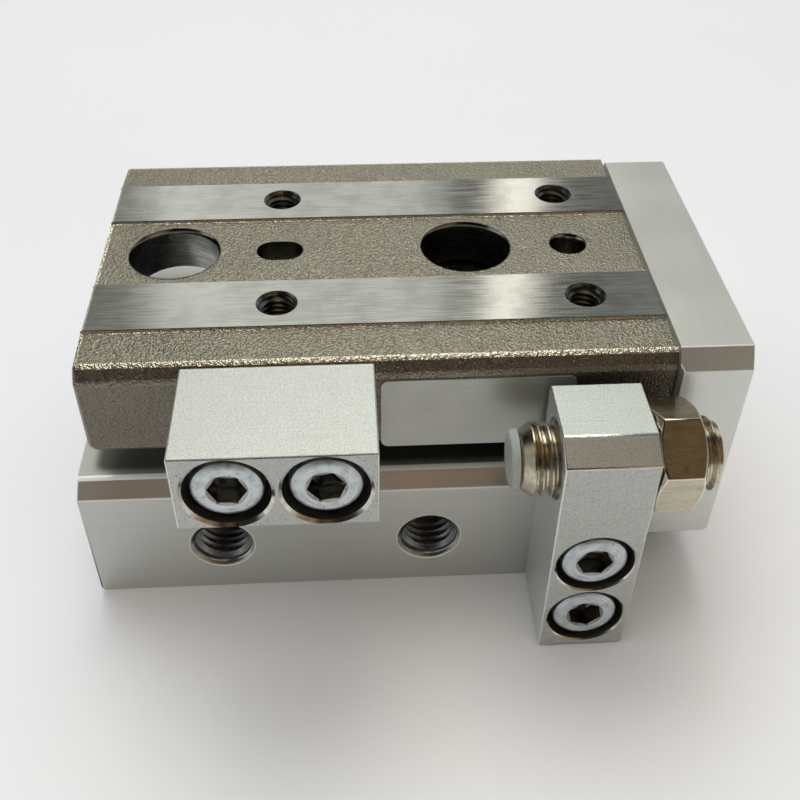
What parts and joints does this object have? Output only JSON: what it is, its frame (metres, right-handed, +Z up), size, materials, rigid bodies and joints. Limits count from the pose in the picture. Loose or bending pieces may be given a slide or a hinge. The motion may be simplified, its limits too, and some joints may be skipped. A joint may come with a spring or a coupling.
{
  "type": "pneumatic slide table",
  "caption": "Compact air-driven linear slide: a steel table with an end plate runs on a ball guide over a two-bore aluminium body, with an adjustable end stop.",
  "frame": {"origin": "body's bottom face, on its centre line, half-way along the closed unit", "axes": "+X the way the table extends, +Y across the body away from the stopper and adjuster blocks, +Z up through the table"},
  "size_m": [0.056, 0.0447, 0.0256],
  "materials": {
    "body": "satin clear-anodised extruded aluminium",
    "end_plate": "satin clear-anodised aluminium plate",
    "table": "blasted stainless steel casting with two ground strips",
    "guide_steel": "ground bearing steel",
    "stopper_block": "bead-blasted clear-anodised aluminium",
    "adjuster_block": "bead-blasted clear-anodised aluminium",
    "plated_screws": "bright zinc-plated steel",
    "nickel_plate": "nickel-plated steel",
    "urethane": "grey-green cast urethane",
    "guide_resin": "moulded green resin",
    "seal_rubber": "black nitrile rubber",
    "bearing_balls": "polished bearing steel",
    "gland_alloy": "turned aluminium alloy",
    "spring_steel": "phosphated spring steel",
    "rod_steel": "hard-chromed stainless steel",
    "piston_alloy": "turned brass",
    "magnet": "bonded magnet",
    "label_film": "blank silver polyester film"
  },
  "bodies": {
    "base": {"body": "body", "guide_block": "guide_steel", "guide_block_screws": "plated_screws", "return_cap_rear": "guide_resin", "return_cap_front": "guide_resin", "wiper_rear": "seal_rubber", "wiper_front": "seal_rubber", "return_cap_screws": "plated_screws", "balls_near": "bearing_balls", "balls_far": "bearing_balls", "rod_gland_near": "gland_alloy", "rod_gland_far": "gland_alloy", "gland_o_rings": "seal_rubber", "rod_seals": "seal_rubber", "cushion_rings": "seal_rubber", "gland_retaining_rings": "spring_steel", "retract_bumper": "seal_rubber", "adjuster_block": "adjuster_block", "adjuster_block_screws": "plated_screws"},
    "table": {"table": "table", "end_plate": "end_plate", "end_plate_screws": "plated_screws", "piston_rod_near": "rod_steel", "piston_rod_far": "rod_steel", "piston_near": "piston_alloy", "piston_far": "piston_alloy", "piston_seals": "seal_rubber", "piston_magnets": "magnet", "rod_end_washers": "spring_steel", "rod_end_screws": "plated_screws", "stopper_block": "stopper_block", "stopper_block_screws": "plated_screws", "label": "label_film"},
    "adjuster_travel": {"adjuster_bumper": "urethane"},
    "adjuster_screw": {"adjuster_bolt": "nickel_plate"},
    "lock_nut": {"lock_nut": "nickel_plate"}
  },
  "joints": [
    {"name": "table_slide", "type": "slide", "parent": "base", "child": "table", "axis": [1, 0, 0], "range_m": [0, 0.01]},
    {"name": "adjuster_travel", "type": "slide", "parent": "base", "child": "adjuster_travel", "axis": [1, 0, 0], "range_m": [0, 0.003]},
    {"name": "adjuster_turn", "type": "hinge", "parent": "adjuster_travel", "child": "adjuster_screw", "pos_m": [0.012, -0.022, 0.0194], "axis": [1, 0, 0], "range_deg": [0, 1440]},
    {"name": "lock_nut_turn", "type": "hinge", "parent": "adjuster_screw", "child": "lock_nut", "pos_m": [0.0206, -0.022, 0.0194], "axis": [1, 0, 0], "range_deg": [0, 90]}
  ],
  "couplings": [
    {"joint": "adjuster_turn", "follows": "adjuster_travel", "rad_per_m": 8377.6}
  ]
}
